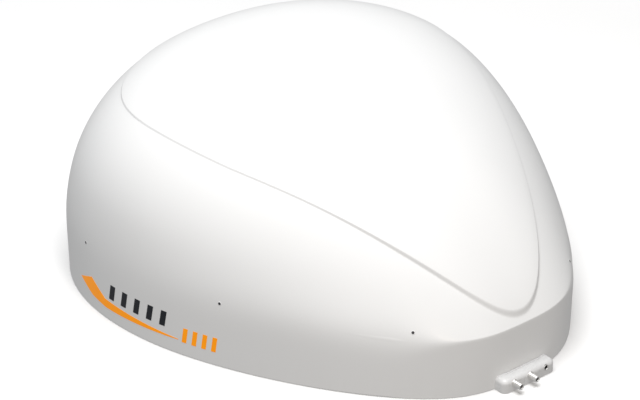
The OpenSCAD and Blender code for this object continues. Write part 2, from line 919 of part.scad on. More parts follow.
module slip_ring_stator() {
  color([0.15, 0.15, 0.16])
    on_axis()
      difference() {
        post(hub_bore - fit_gap, slip_low, bearing_high - 1);
        post(6.3, slip_low + 2, bearing_high);
      }
}
module slip_ring_rotor() {
  color([0.55, 0.56, 0.6])
    on_axis() {
      post(6, slip_low + 3, plate_high + strap_t);
      post(9, plate_high + strap_t, plate_high + strap_t + 2.5);
    }
}
module slip_ring_strap() {
  color([0.7, 0.71, 0.73])
    on_axis()
      difference() {
        block([-strap_half, -10, plate_high], [strap_half, 10, plate_high + strap_t]);
        post(6, 0, plate_high + strap_t + cut);
        for (sx = [-1, 1]) translate([sx * strap_screw_x, 0, 0]) post(1.5, 0, plate_high + strap_t + cut);
      }
}
module strap_screws() {
  top = plate_high + strap_t;
  color([0.5, 0.51, 0.53])
    on_axis()
      for (sx = [-1, 1])
        translate([sx * strap_screw_x, 0, 0]) {
          post(1.5, bearing_high, top);
          post(3, top, top + 1.8);
        }
}
module azimuth_gearbox() {
  color([0.3, 0.3, 0.32])
    at_azimuth_shaft()
      difference() {
        post(gearbox_r, plate_high, plate_high + gearbox_h);
        post(shaft_r + fit_gap, plate_high - cut, plate_high + gearbox_h - 4);
      }
}
module azimuth_motor() {
  color([0.62, 0.63, 0.65])
    at_azimuth_shaft() {
      post(motor_r, plate_high + gearbox_h, plate_high + gearbox_h + motor_h);
      post(4, plate_high + gearbox_h + motor_h, plate_high + gearbox_h + motor_h + 2);
    }
}
module azimuth_pinion() {
  color([0.88, 0.86, 0.78])
    at_azimuth_shaft() {
      translate([0, 0, gear_low - 0.4])
        linear_extrude(gear_high - gear_low + 0.8)
          polygon(gear_outline(azimuth_teeth));
      post(shaft_r, gear_low - 0.4, plate_high + gearbox_h - 5);
    }
}
module turntable_board() {
  color([0.05, 0.35, 0.18])
    on_axis()
      translate([-105, 8, 0]) {
        block([-32, -26, plate_high + 3], [32, 26, plate_high + 4.6]);
        for (sx = [-1, 1])
          for (sy = [-1, 1])
            translate([sx * 28, sy * 22, 0])
              post(2.5, plate_high, plate_high + 3 + eps);
        block([-14, -10, plate_high + 4.6 - eps], [14, 10, plate_high + 7.5]);
      }
}

// yokes
tilt_gap = 0.05;
trunnion_r = 6;
bush_r = 8.5;
bush_flange = 12;
stop_r = 30;
stop_half = 4;
bumper_r = 4;
tilt_max = 65;
stop_rest = -125;
stop_slack = 0.8;
stop_lead = asin((stop_half + bumper_r) / stop_r) + stop_slack;
module on_tilt() {
  translate([0, axis_y, tilt_z])
    children();
}
module tilt_shaft_place() {
  on_tilt()
    translate([0, tilt_reach * cos(tilt_heading), tilt_reach * sin(tilt_heading)])
      children();
}
module yoke_plate(side) {
  drop = tilt_z - plate_high;
  foot_rise = 14 - drop;
  neck = [yoke_head * 0.8, -yoke_head * 0.6];
  rotate([90, 0, 90])
    linear_extrude(yoke_t)
      union() {
        polygon([
          [-yoke_base, -drop], [yoke_base, -drop], [yoke_base, foot_rise],
          neck, [-neck[0], neck[1]], [-yoke_base, foot_rise]
        ]);
        circle(r = yoke_head);
        if (side > 0)
          translate([tilt_reach * cos(tilt_heading), tilt_reach * sin(tilt_heading)])
            circle(r = gearbox_seat_r);
      }
}
module yoke(side) {
  color([0.76, 0.77, 0.79])
    difference() {
      union() {
        on_tilt()
          translate([side > 0 ? yoke_in : -yoke_in - yoke_t, 0, 0])
            yoke_plate(side);
        on_axis()
          translate([side > 0 ? yoke_in + yoke_t - eps : -yoke_in - yoke_t - yoke_foot + eps, 0, 0])
            block([0, -yoke_base, plate_high], [yoke_foot, yoke_base, plate_high + 4]);
      }
      on_tilt() bar(bush_r, -plate_half, plate_half);
      at_yoke_screws() post(2, plate_high - cut, plate_high + 4 + cut);
      if (side > 0)
        tilt_shaft_place() bar(shaft_r + 2, 0, plate_half);
    }
}
module yoke_left() { yoke(-1); }
module yoke_right() { yoke(1); }
module yoke_screws() {
  color([0.5, 0.51, 0.53])
    at_yoke_screws() {
      post(2, bearing_high, plate_high + 4);
      post(3.6, plate_high + 4, plate_high + 6.6);
    }
}
module tilt_bushes() {
  color([0.75, 0.6, 0.3])
    on_tilt()
      for (sx = [0, 1])
        mirror([sx, 0, 0])
          difference() {
            union() {
              bar(bush_r, yoke_in - eps, yoke_in + yoke_t + 0.5);
              bar(bush_flange, yoke_in - 1.5, yoke_in);
            }
            bar(trunnion_r + tilt_gap, yoke_in - 3, yoke_in + yoke_t + 3);
          }
}
module tilt_gearbox() {
  from = yoke_in + yoke_t;
  color([0.3, 0.3, 0.32])
    tilt_shaft_place()
      difference() {
        bar(gearbox_r, from, from + gearbox_h);
        bar(shaft_r + fit_gap, from - cut, from + gearbox_h - 4);
      }
}
module tilt_motor() {
  from = yoke_in + yoke_t + gearbox_h;
  color([0.62, 0.63, 0.65])
    tilt_shaft_place() {
      bar(motor_r - 1, from, from + motor_h);
      bar(4, from + motor_h, from + motor_h + 2);
    }
}
sector_from = panel_w / 2 + 3;
sector_t = 6;
module tilt_pinion() {
  gap_heading = tilt_heading + 180 - 180 / tilt_teeth;
  color([0.88, 0.86, 0.78])
    tilt_shaft_place() {
      translate([sector_from - 0.4, 0, 0])
        rotate([90, 0, 90])
          linear_extrude(sector_t + 0.8)
            rotate(gap_heading)
              polygon(gear_outline(tilt_teeth));
      bar(shaft_r, sector_from - 0.4, yoke_in + yoke_t + gearbox_h - 5);
    }
}
module tilt_bumpers() {
  color([0.1, 0.1, 0.1])
    on_tilt()
      for (a = [stop_rest - stop_lead, stop_rest + tilt_max + stop_lead])
        translate([0, stop_r * cos(a), stop_r * sin(a)])
          bar(bumper_r, -yoke_in, -sector_from);
}
module tilt_home_switch() {
  color([0.12, 0.12, 0.13])
    on_tilt()
      translate([-yoke_in, 28, -44]) {
        block([0, -9, -4], [7, 9, 4]);
        block([2, -8, 4 - eps], [5, 6, 5]);
      }
}

// tilting panel
frame_low = -12;
frame_high = 12;
frame_t = 3;
half_px = panel_w / 2;
half_py = panel_d / 2;
horn = 21;
horn_x = 25.2;
horn_y = 26.4;
horn_cols = 16;
horn_rows = 7;
horn_floor = -3;
guide_low = frame_low + frame_t + 0.1;
guide_high = 9;
module panel_frame() {
  color([0.74, 0.75, 0.77])
    on_tilt()
      difference() {
        block([-half_px, -half_py, frame_low], [half_px, half_py, frame_high]);
        block([-half_px + frame_t, -half_py + frame_t, frame_low + frame_t],
          [half_px - frame_t, half_py - frame_t, frame_high + cut]);
        block([-20, -12, frame_low - cut], [20, 12, 0]);
        for (sx = [-1, 1])
          for (sy = [-1, 1])
            translate([sx * 125, sy * 45, 0])
              block([-60, -30, frame_low - cut], [60, 30, frame_low + frame_t + cut]);
      }
}
module waveguide_panel() {
  color([0.85, 0.82, 0.7])
    on_tilt()
      difference() {
        block([-half_px + frame_t + 0.4, -half_py + frame_t + 0.4, guide_low],
          [half_px - frame_t - 0.4, half_py - frame_t - 0.4, guide_high]);
        for (i = [0:horn_cols - 1])
          for (j = [0:horn_rows - 1])
            translate([(i - (horn_cols - 1) / 2) * horn_x, (j - (horn_rows - 1) / 2) * horn_y, 0])
              block([-horn / 2, -horn / 2, horn_floor], [horn / 2, horn / 2, guide_high + cut]);
      }
}
module panel_cover() {
  lip = frame_t + 0.5;
  out_x = half_px - lip;
  out_y = half_py - lip;
  color([0.9, 0.9, 0.88])
    on_tilt()
      difference() {
        union() {
          block([-half_px, -half_py, frame_high], [half_px, half_py, frame_high + 2]);
          block([-out_x, -out_y, guide_high + 0.3], [out_x, out_y, frame_high + eps]);
        }
        block([-out_x + lip, -out_y + lip, 0], [out_x - lip, out_y - lip, frame_high]);
      }
}
module trunnion() {
  bar(12, half_px, sector_from);
  bar(trunnion_r, sector_from - eps, yoke_in + yoke_t + 3);
}
module trunnion_left() {
  color([0.6, 0.61, 0.63])
    on_tilt() mirror([1, 0, 0]) trunnion();
}
module trunnion_right() {
  color([0.6, 0.61, 0.63])
    on_tilt() trunnion();
}
module tilt_sector() {
  pitch_deg = 360 / sector_teeth;
  first = tilt_heading - tilt_max - 3 * pitch_deg;
  last = tilt_heading + 3 * pitch_deg;
  inner = 40;
  color([0.88, 0.86, 0.78])
    on_tilt()
      translate([sector_from, 0, 0])
        rotate([90, 0, 90])
          linear_extrude(sector_t)
            difference() {
              union() {
                polygon([
                  for (h = [first:pitch_deg:last]) each tooth(sector_teeth, h),
                  for (h = [last:-pitch_deg:first]) inner * [cos(h), sin(h)]
                ]);
                circle(r = 15);
                for (h = [first + 8, (first + last) / 2, last - 8])
                  rotate(h)
                    translate([0, -5])
                      square([inner + 3, 10]);
              }
              circle(r = trunnion_r);
            }
}
module tilt_stop_arm() {
  color([0.6, 0.61, 0.63])
    on_tilt()
      translate([-sector_from - sector_t, 0, 0])
        rotate([90, 0, 90])
          linear_extrude(sector_t)
            difference() {
              union() {
                circle(r = 12);
                rotate(stop_rest)
                  translate([0, -stop_half])
                    square([stop_r + 6, 2 * stop_half]);
              }
              circle(r = trunnion_r);
            }
}
module low_noise_block() {
  color([0.5, 0.51, 0.53])
    on_tilt()
      union() {
        block([-19.5, -11.5, frame_low - 9], [19.5, 11.5, guide_low]);
        block([-40, -30, frame_low - 38], [40, 30, frame_low - 8]);
        for (sx = [-1, 1])
          translate([sx * 15, 0, frame_low - 24])
            rod(coax_r, -42, -30 + eps);
      }
}

radome();
decal_stripe();
decal_bars();
decal_dashes();
radome_screws();
rim_seal();
base_tray();
mounting_inserts();
drain_plugs();
captive_nuts();
connector_housing();
connector_gasket();
coax_port_left();
coax_port_right();
coax_insulators();
coax_nuts();
service_socket();
housing_screws();
control_board();
board_standoffs();
board_screws();
tuner_can();
heat_sink();
coax_lead_left();
coax_lead_right();
slip_ring_lead();
turntable_hub();
hub_screws();
sun_gear();
bearing_inner_ring();
hub_nut();
slip_ring_stator();
bearing_balls();
bearing_cage();
turntable_plate();
bearing_outer_ring();
slip_ring_rotor();
slip_ring_strap();
strap_screws();
azimuth_gearbox();
azimuth_motor();
azimuth_pinion();
turntable_board();
yoke_left();
yoke_right();
yoke_screws();
tilt_bushes();
tilt_gearbox();
tilt_motor();
tilt_pinion();
tilt_bumpers();
tilt_home_switch();
panel_frame();
waveguide_panel();
panel_cover();
trunnion_left();
trunnion_right();
tilt_sector();
tilt_stop_arm();
low_noise_block();
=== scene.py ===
"""Looks of an egg-shaped satellite antenna dome: white shell, printed trim, screws and sockets.

Metres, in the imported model's frame: +Y to the wide end, -Y to the end with the sockets, +Z up.
"""
import json
import math

import bmesh
import bpy
import numpy as np
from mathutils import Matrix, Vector


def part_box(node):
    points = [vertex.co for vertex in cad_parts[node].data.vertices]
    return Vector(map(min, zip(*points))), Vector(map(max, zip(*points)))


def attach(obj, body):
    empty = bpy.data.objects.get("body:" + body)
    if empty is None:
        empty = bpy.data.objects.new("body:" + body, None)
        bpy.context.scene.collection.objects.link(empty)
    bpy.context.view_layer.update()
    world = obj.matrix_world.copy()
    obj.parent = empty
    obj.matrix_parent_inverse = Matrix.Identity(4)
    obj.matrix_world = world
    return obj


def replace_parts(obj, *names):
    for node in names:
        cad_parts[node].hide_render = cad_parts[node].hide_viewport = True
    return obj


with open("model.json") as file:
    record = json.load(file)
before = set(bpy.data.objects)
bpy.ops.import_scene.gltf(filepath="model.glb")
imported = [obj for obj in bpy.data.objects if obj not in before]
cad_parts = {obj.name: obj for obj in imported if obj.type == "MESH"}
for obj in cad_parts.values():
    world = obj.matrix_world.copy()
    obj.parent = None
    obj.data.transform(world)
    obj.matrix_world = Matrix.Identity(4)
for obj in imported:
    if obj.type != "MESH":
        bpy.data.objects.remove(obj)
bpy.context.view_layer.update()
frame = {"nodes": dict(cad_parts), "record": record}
MM = 0.001

# ---------------------------------------------------------------- driving dimensions
# foot, skirt and height of the dome; the apex is the highest point
LENGTH = 0.760
HALF_W = 0.3375
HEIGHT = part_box("radome")[1].z
SKIRT = 0.100
WALL = 3.0 * MM
DRAFT = 1.2 * MM
FOOT_LIP = 0.8 * MM
APEX_Y = 0.165
FRONT = LENGTH / 2 + APEX_Y
BACK = LENGTH / 2 - APEX_Y

# powers of the dome's profile curves above the skirt and of its outline at one level; LOW is at
# the skirt's top, HIGH at the apex
FRONT_POW = 2.83
FRONT_RISE = 1.0
BACK_POW = 3.07
BACK_RISE = 2.06
SIDE_POW = 3.17
SIDE_RISE = 2.54
PLAN_POW = 1.9
CORNER_LOW = 2.98
CORNER_HIGH = 2.08
TAPER_LOW = 0.292
TAPER_HIGH = 0.157
TAPER_BEND = 0.064

# guards that keep the outline formulas finite away from the outline
END_GUARD = 1.3
WIDTH_GUARD = 0.05
TINY = 1e-5

# raised crown in plan
CROWN_HALF_W = 0.234
CROWN_HALF_L = 0.3425
CROWN_Y = -0.0325
CROWN_CORNER = 2.08
CROWN_POW = 1.78
CROWN_TAPER = 0.586
CROWN_BEND = 0.188

# how far the crown's edge moves outwards: not at all where the cosine of the heading is above
# GROW_NONE, then more and more towards the narrow end, and not at all at that end's very tip,
# where the power TIP_HOLD fades it out
CROWN_GROW = 5.5 * MM
GROW_NONE = 0.9
GROW_SPAN = 1.8
TIP_HOLD = 24

# height and width of the step at the crown's edge, and what is added to both at the narrow end,
# fading to the sides with the power TIP_POW
CROWN_STEP = 1.6 * MM
TIP_STEP = 3.4 * MM
STEP_RAMP = 3.2 * MM
TIP_RAMP = 4.3 * MM
TIP_POW = 6

# how far the skirt's upper edge sinks at the narrow end: in full up to SINK_FULL degrees off
# that end, not at all beyond SINK_END degrees, and less with distance inwards from the rim
NOSE_SINK = 10.0 * MM
SINK_REACH = 45.0 * MM
SINK_FULL = 20.0
SINK_END = 58.0

# how broadly the skirt's upper edge is rounded at the narrow end and everywhere else, and the
# cosines of the angles off the narrow end between which the one fades into the other
CREASE_FRONT = 1.0 * MM
CREASE_SIDE = 20.0 * MM
FADE_START = 0.98
FADE_END = 0.86

# shell mesh: columns round the dome, rings from the foot upwards, powers that bunch the rings,
# and halvings in a search
COLUMNS = 360
FOOT_RINGS = 3
SKIRT_RINGS = 40
SHOULDER_RINGS = 56
STEP_RINGS = 14
CROWN_RINGS = 44
CREASE_RING = FOOT_RINGS + SKIRT_RINGS
SHOULDER_BUNCH = 1.15
CROWN_BUNCH = 1.2
SEARCH = 40
HEADINGS = 2 * math.pi * np.arange(COLUMNS) / COLUMNS


# ---------------------------------------------------------------- dome surface
# A level is 0 at the top of the skirt and 1 at the apex. A heading runs from +Y towards +X.
def smooth(u):
    """Eases a share between 0 and 1 in and out."""
    return u * u * (3 - 2 * u)


def level_prof(t, n, m):
    """Superellipse fall-off from 1 at level 0 to 0 at level 1."""
    return np.maximum(0.0, 1.0 - t**m) ** (1.0 / n)


def plan_gap(x, y, t):
    """Below 0 inside the dome's outline at level t, above 0 outside it."""
    y_front = APEX_Y - FRONT * level_prof(t, FRONT_POW, FRONT_RISE)
    y_back = APEX_Y + BACK * level_prof(t, BACK_POW, BACK_RISE)
    half = np.maximum(TINY, (y_back - y_front) / 2)
    v = (y - (y_back + y_front) / 2) / half
    u = np.clip(v, -END_GUARD, END_GUARD)
    taper = TAPER_LOW + (TAPER_HIGH - TAPER_LOW) * t
    egg = np.maximum(WIDTH_GUARD, 1 + taper * u - TAPER_BEND * u * u)
    width = HALF_W * level_prof(t, SIDE_POW, SIDE_RISE) * egg
    corner = CORNER_LOW + (CORNER_HIGH - CORNER_LOW) * t
    return (np.abs(x) / np.maximum(TINY, width)) ** corner + np.abs(v) ** PLAN_POW - 1.0


def crown_gap(x, y):
    """Below 0 inside the raised crown's outline."""
    v = (y - CROWN_Y) / CROWN_HALF_L
    u = np.clip(v, -END_GUARD, END_GUARD)
    egg = np.maximum(WIDTH_GUARD, 1 + CROWN_TAPER * u + CROWN_BEND * u * u)
    width = CROWN_HALF_W * egg
    return (np.abs(x) / width) ** CROWN_CORNER + np.abs(v) ** CROWN_POW - 1.0


def bisect(outside, low, high):
    """Where outside() turns from false to true between low and high, element by element."""
    low = np.array(low, float)
    high = np.array(high, float)
    for _ in range(SEARCH):
        mid = (low + high) / 2
        out = outside(mid)
        high = np.where(out, mid, high)
        low = np.where(out, low, mid)
    return (low + high) / 2


def level_at(x, y):
    """Level of the dome surface over plan points."""
    return bisect(lambda t: plan_gap(x, y, t) > 0, np.zeros_like(x), np.ones_like(x))


def dome_normal(x, y, t):
    """Outward normals of the dome surface, one row a point."""
    d = 0.5 * MM
    dt = 0.004
    gx = (plan_gap(x + d, y, t) - plan_gap(x - d, y, t)) / (2 * d)
    gy = (plan_gap(x, y + d, t) - plan_gap(x, y - d, t)) / (2 * d)
    t1 = np.minimum(0.995, t + dt)
    gt = (plan_gap(x, y, t1) - plan_gap(x, y, t1 - dt)) / dt
    n = np.stack([gx, gy, gt / (HEIGHT - SKIRT)], -1)
    return n / np.linalg.norm(n, axis=-1, keepdims=True)


def rim_point(heading):
    """Outline of the skirt at its top, for headings in radians."""
    dx = np.sin(heading)
    dy = np.cos(heading)
    reach = bisect(lambda r: plan_gap(r * dx, r * dy, 0.0) > 0, 0 * dx, 0 * dx + LENGTH)
    return reach * dx, reach * dy


def skirt_normal(x, y):
    """Outward normals of the dome's rim, made level."""
    n = dome_normal(x, y, np.zeros_like(x))
    n[..., 2] = 0.0
    return n / np.linalg.norm(n, axis=-1, keepdims=True)


def skirt_point(heading, z, off):
    """Points on the skirt wall, pushed out by off."""
    x, y = rim_point(heading)
    n = skirt_normal(x, y)
    shift = off - DRAFT * (1 - z / SKIRT)
    return np.stack([x + n[..., 0] * shift, y + n[..., 1] * shift, z + 0 * x], -1)


# ---------------------------------------------------------------- mesh helpers
def new_mesh(name, verts, faces, material, body):
    """Smooth-shaded piece with its faces turned outwards, riding a body where one is given."""
    mesh = bpy.data.meshes.new(name)
    mesh.from_pydata([tuple(map(float, v)) for v in verts], [], [tuple(map(int, f)) for f in faces])
    mesh.validate()
    turned = bmesh.new()
    turned.from_mesh(mesh)
    bmesh.ops.recalc_face_normals(turned, faces=turned.faces)
    turned.to_mesh(mesh)
    turned.free()
    mesh.polygons.foreach_set("use_smooth", [True] * len(mesh.polygons))
    mesh.materials.append(material)
    obj = bpy.data.objects.new(name, mesh)
    bpy.context.scene.collection.objects.link(obj)
    if body:
        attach(obj, body)
    return obj


def sharpen(obj, degrees):
    """Keeps edges above this angle crisp."""
    mesh = obj.data
    limit = math.radians(degrees)
    sides = {}
    for poly in mesh.polygons:
        for key in poly.edge_keys:
            sides.setdefault(key, []).append(poly.normal.copy())
    flags = []
    for edge in mesh.edges:
        pair = sides.get(edge.key, [])
        flags.append(len(pair) == 2 and pair[0].angle(pair[1], 0.0) > limit)
    mesh.attributes.new("sharp_edge", "BOOLEAN", "EDGE").data.foreach_set("value", flags)


def grid_faces(rows, cols, wrap, start=0):
    """Quads between rows of points; wrap joins the last column to the first."""
    faces = []
    for i in range(rows - 1):
        for c in range(cols if wrap else cols - 1):
            a = start + i * cols + c
            b = start + i * cols + (c + 1) % cols
            faces.append((a, b, b + cols, a + cols))
    return faces


def lathe(profile, origin, axis, segments=64, closed=True):
    """Vertices and faces of a turned part: profile is (radius, distance along axis) pairs."""
    axis = Vector(axis).normalized()
    side = axis.orthogonal().normalized()
    other = axis.cross(side)
    verts = []
    for r, d in profile:
        for k in range(segments):
            a = 2 * math.pi * k / segments
            verts.append(Vector(origin) + axis * d + r * (math.cos(a) * side + math.sin(a) * other))
    faces = [f[::-1] for f in grid_faces(len(profile), segments, True)]
    if closed:
        faces.append(tuple(range(segments)))
        last = (len(profile) - 1) * segments
        faces.append(tuple(last + k for k in range(segments))[::-1])
    return verts, faces


class Parts:
    """Collects several closed shapes into one mesh."""

    def __init__(self):
        self.verts = []
        self.faces = []

    def add(self, verts, faces):
        """Appends a shape, its face indices shifted past what is already there."""
        start = len(self.verts)
        self.verts += [tuple(v) for v in verts]
        self.faces += [tuple(start + i for i in f) for f in faces]


def in_metres(profile):
    """Turned profile in mm, made metres."""
    return [(r * MM, d * MM) for r, d in profile]


# ---------------------------------------------------------------- materials
class Shader:
    """Small wrapper that wires object-space procedural detail into a Principled BSDF."""

    def __init__(self, name):
        self.material = bpy.data.materials.new(name)
        self.material.use_nodes = True
        self.tree = self.material.node_tree
        self.shader = self.tree.nodes["Principled BSDF"]
        self.place = self.tree.nodes.new("ShaderNodeTexCoord").outputs["Object"]

    def node(self, kind, links=(), **values):
        """New node; each value sets an input where one has its name, or else a property."""
        made = self.tree.nodes.new(kind)
        for key, value in values.items():
            if key in made.inputs:
                made.inputs[key].default_value = value
            else:
                setattr(made, key, value)
        for socket, source in links:
            self.tree.links.new(source, made.inputs[socket])
        return made

    def stretch(self, scale):
        """Object coordinates scaled on each axis."""
        return self.node(
            "ShaderNodeMapping", [("Vector", self.place)], Scale=scale
        ).outputs["Vector"]

    def noise(self, scale, detail=4.0, rough=0.55, place=None):
        return self.node(
            "ShaderNodeTexNoise",
            [("Vector", place or self.place)],
            Scale=scale,
            Detail=detail,
            Roughness=rough,
        ).outputs["Fac"]

    def ramp(self, source, stops):
        """Colour ramp from (position, colour) stops."""
        ramp = self.node("ShaderNodeValToRGB", [("Fac", source)])
        elements = ramp.color_ramp.elements
        elements[0].position, elements[0].color = stops[0]
        elements[1].position, elements[1].color = stops[-1]
        for position, color in stops[1:-1]:
            elements.new(position).color = color
        return ramp.outputs["Color"]

    def span(self, source, low, high, start=0.3, end=0.7):
        """Maps source from start..end to low..high, held at both ends."""
        values = {"From Min": start, "From Max": end, "To Min": low, "To Max": high}
        return self.node("ShaderNodeMapRange", [("Value", source)], **values).outputs["Result"]

    def math(self, operation, a, b):
        made = self.node("ShaderNodeMath", operation=operation)
        for i, value in enumerate((a, b)):
            if isinstance(value, (int, float)):
                made.inputs[i].default_value = value
            else:
                self.tree.links.new(value, made.inputs[i])
        return made.outputs["Value"]

    def mix(self, factor, a, b):
        """Colour a where factor is 0, colour b where it is 1."""
        made = self.node("ShaderNodeMix", data_type="RGBA")
        sockets = [made.inputs[0], made.inputs[6], made.inputs[7]]
        for socket, value in zip(sockets, (factor, a, b)):
            if isinstance(value, (int, float, tuple)):
                socket.default_value = value
            else:
                self.tree.links.new(value, socket)
        return made.outputs[2]

    def bump(self, height, distance, strength, normal=None):
        links = [("Height", height)] + ([("Normal", normal)] if normal else [])
        return self.node(
            "ShaderNodeBump", links, Distance=distance, Strength=strength
        ).outputs["Normal"]

    def wire(self, socket, source):
        """Feeds an input of the Principled BSDF."""
        self.tree.links.new(source, self.shader.inputs[socket])

    def fix(self, **values):
        """Values that are the same all over the surface."""
        for key, value in values.items():
            self.shader.inputs[key.replace("_", " ")].default_value = value


def rgb(r, g, b):
    return (r, g, b, 1.0)


def shade(color, factor):
    return rgb(*(min(1.0, c * factor) for c in color[:3]))


def gloss_shell(name):
    """White gelcoat: semi-gloss with faint mottling, orange peel and a dirt film at the foot."""
    s = Shader(name)
    cloud = s.noise(3.5, 3.0)
    tone = s.ramp(cloud, [(0.3, rgb(0.852, 0.856, 0.858)), (0.7, rgb(0.874, 0.878, 0.88))])
    height = s.node("ShaderNodeSeparateXYZ", [("Vector", s.place)]).outputs["Z"]
    low = s.span(height, 1.0, 0.0, 0.0, 0.05)
    streak = s.noise(60.0, 5.0, 0.6, s.stretch((1.0, 1.0, 0.18)))
    film = s.math("MULTIPLY", low, s.span(streak, 0.0, 0.08, 0.42, 0.75))
    speck = s.span(s.noise(900.0, 2.0), 0.0, 1.0, 0.70, 0.74)
    tone = s.mix(film, tone, rgb(0.70, 0.695, 0.67))
    tone = s.mix(s.math("MULTIPLY", speck, 0.18), tone, rgb(0.62, 0.61, 0.58))
    s.wire("Base Color", tone)
    scuff = s.noise(38.0, 8.0, 0.7)
    rough = s.span(scuff, 0.28, 0.38)
    rough = s.math("ADD", rough, s.math("MULTIPLY", film, 0.5))
    s.wire("Roughness", rough)
    peel = s.noise(420.0, 2.0, 0.4)
    sag = s.noise(22.0, 2.0, 0.4)
    soft = s.bump(sag, 0.25 * MM, 0.35)
    s.wire("Normal", s.bump(peel, 0.03 * MM, 0.5, soft))
    s.fix(IOR=1.45, Specular_IOR_Level=0.3, Coat_Weight=0.1, Coat_Roughness=0.12, Coat_IOR=1.4)
    return s.material


def moulded(name, color, rough=0.55, grain=900.0, depth=0.08, spread=0.12, coat=0.0):
    """Moulded plastic or rubber: fine grain, drifting tone, light dust and uneven polish."""
    s = Shader(name)
    drift = s.noise(14.0, 4.0)
    tone = s.ramp(drift, [(0.3, shade(color, 1 - spread)), (0.7, shade(color, 1 + spread))])
    dust = s.span(s.noise(160.0, 6.0, 0.7), 0.0, 0.22, 0.52, 0.75)
    s.wire("Base Color", s.mix(dust, tone, shade(rgb(0.5, 0.49, 0.47), 0.6)))
    s.wire("Roughness", s.span(s.noise(70.0, 5.0), rough - 0.08, rough + 0.1))
    s.wire("Normal", s.bump(s.noise(grain, 3.0), depth * MM, 0.6))
    s.fix(IOR=1.48, Coat_Weight=coat, Coat_Roughness=0.2)
    return s.material


def metal(name, color, rough=0.3, brush=(1.0, 1.0, 22.0), stain=0.1):
    """Machined or plated metal: directional brushing, faint stains and handling marks."""
    s = Shader(name)
    lines = s.noise(140.0, 6.0, 0.65, s.stretch(brush))
    patch = s.noise(26.0, 5.0, 0.6)
    tone = s.ramp(patch, [(0.32, shade(color, 1 - stain)), (0.68, shade(color, 1 + stain / 2))])
    s.wire("Base Color", s.mix(s.span(lines, 0.0, 0.18), tone, shade(color, 0.72)))
    worn = s.math("ADD", s.span(lines, rough - 0.06, rough + 0.06), s.span(patch, 0.0, 0.08))
    s.wire("Roughness", worn)
    s.wire("Normal", s.bump(lines, 0.02 * MM, 0.5))
    s.fix(Metallic=1.0)
    return s.material


def board(name):
    """Solder mask over copper tracks, with tinned pads."""
    s = Shader(name)
    tracks = s.node(
        "ShaderNodeTexBrick",
        [("Vector", s.place)],
        Scale=160.0,
        **{"Mortar Size": 0.06, "Brick Width": 0.9, "Row Height": 0.4},
    ).outputs["Fac"]
    base = s.ramp(
        s.noise(35.0, 3.0), [(0.3, rgb(0.012, 0.12, 0.05)), (0.7, rgb(0.02, 0.17, 0.075))]
    )
    base = s.mix(s.math("MULTIPLY", tracks, 0.7), base, rgb(0.035, 0.27, 0.12))
    pads = s.node("ShaderNodeTexVoronoi", [("Vector", s.place)], Scale=420.0).outputs["Distance"]
    spot = s.span(pads, 1.0, 0.0, 0.12, 0.16)
    s.wire("Base Color", s.mix(spot, base, rgb(0.62, 0.6, 0.52)))
    s.wire("Roughness", s.span(s.noise(90.0), 0.28, 0.42))
    s.wire("Normal", s.bump(tracks, 0.05 * MM, 0.5))
    s.fix(IOR=1.5, Coat_Weight=0.3, Coat_Roughness=0.15)
    return s.material


def print_film(name, color, painted_glow=0.0):
    """Screen-printed film: dense ink with a fine screen and faint scratches; the last argument paints
    light into bright ink as an emission, so it shines beyond what the lamps give.
    """
    s = Shader(name)
    ink = s.noise(55.0, 4.0)
    tone = s.ramp(ink, [(0.3, shade(color, 0.93)), (0.7, shade(color, 1.05))])
    screen = s.node("ShaderNodeTexVoronoi", [("Vector", s.place)], Scale=1500.0).outputs["Distance"]
    scratch = s.span(s.noise(300.0, 7.0, 0.8, s.stretch((1, 1, 12))), 0.0, 0.12, 0.66, 0.8)
    s.wire("Base Color", s.mix(scratch, tone, rgb(0.8, 0.79, 0.76)))
    s.wire("Roughness", s.span(s.noise(120.0, 5.0), 0.3, 0.46))
    s.wire("Normal", s.bump(screen, 0.015 * MM, 0.4))
    # Emission here is painted light: it makes the ink brighter than the lamps alone light it.
    s.fix(IOR=1.46, Specular_IOR_Level=0.3, Emission_Color=color, Emission_Strength=painted_glow)
    return s.material


